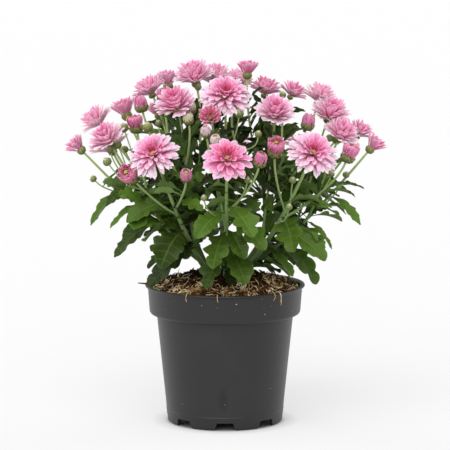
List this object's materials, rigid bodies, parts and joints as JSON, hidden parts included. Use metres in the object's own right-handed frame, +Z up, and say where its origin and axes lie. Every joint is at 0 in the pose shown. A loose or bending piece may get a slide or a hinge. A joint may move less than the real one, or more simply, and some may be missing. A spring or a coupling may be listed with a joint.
{
  "type": "pot chrysanthemum",
  "caption": "Bushy flowering chrysanthemum in a tapered nursery pot: lobed leaves, branching stalks, layered daisy-like pink blooms, half-open blooms and buds over heaped soil.",
  "frame": {"origin": "centre of the part's extents in plan, on the surface that the pot's foot stands on; the pot's own axis is within a millimetre of it", "axes": "+Z up along the pot's axis, -Y towards the side that is seen from the front, +X to its right"},
  "size_m": [0.2417, 0.2026, 0.273],
  "materials": {
    "pot": "satin",
    "soil": "matte",
    "foliage": "matte",
    "petals": "matte",
    "buds": "matte"
  },
  "bodies": {
    "root": {"pot": "pot", "soil": "soil", "leafy_stem_front": "foliage", "leafy_stem_front_left": "foliage", "leafy_stem_front_right": "foliage", "leafy_stem_back_right": "foliage", "leafy_stem_back": "foliage", "leafy_stem_back_left": "foliage", "bloom_01": "petals", "bloom_02": "petals", "half_open_bloom_01": "petals", "pink_bud_01": "buds", "pink_bud_02": "buds", "pink_bud_03": "buds", "bloom_03": "petals", "opening_bloom_01": "buds", "pink_bud_04": "buds", "bloom_04": "petals", "bloom_05": "petals", "half_open_bloom_02": "petals", "opening_bloom_02": "buds", "pink_bud_05": "buds", "pink_bud_06": "buds", "bloom_06": "petals", "opening_bloom_03": "buds", "bloom_07": "petals", "half_open_bloom_03": "petals", "bloom_08": "petals", "bloom_09": "petals", "opening_bloom_04": "buds", "pink_bud_07": "buds", "bloom_10": "petals", "bloom_11": "petals", "bloom_12": "petals", "bloom_13": "petals", "half_open_bloom_04": "petals", "bloom_14": "petals", "bloom_15": "petals", "bloom_16": "petals", "half_open_bloom_05": "petals", "bloom_17": "petals", "bloom_18": "petals", "bloom_19": "petals", "bloom_20": "petals", "bloom_21": "petals", "bloom_22": "petals", "half_open_bloom_06": "petals", "bloom_23": "petals", "half_open_bloom_07": "petals", "bloom_24": "petals", "bloom_25": "petals", "half_open_bloom_08": "petals", "pink_bud_08": "buds", "pink_bud_09": "buds"}
  },
  "joints": []
}
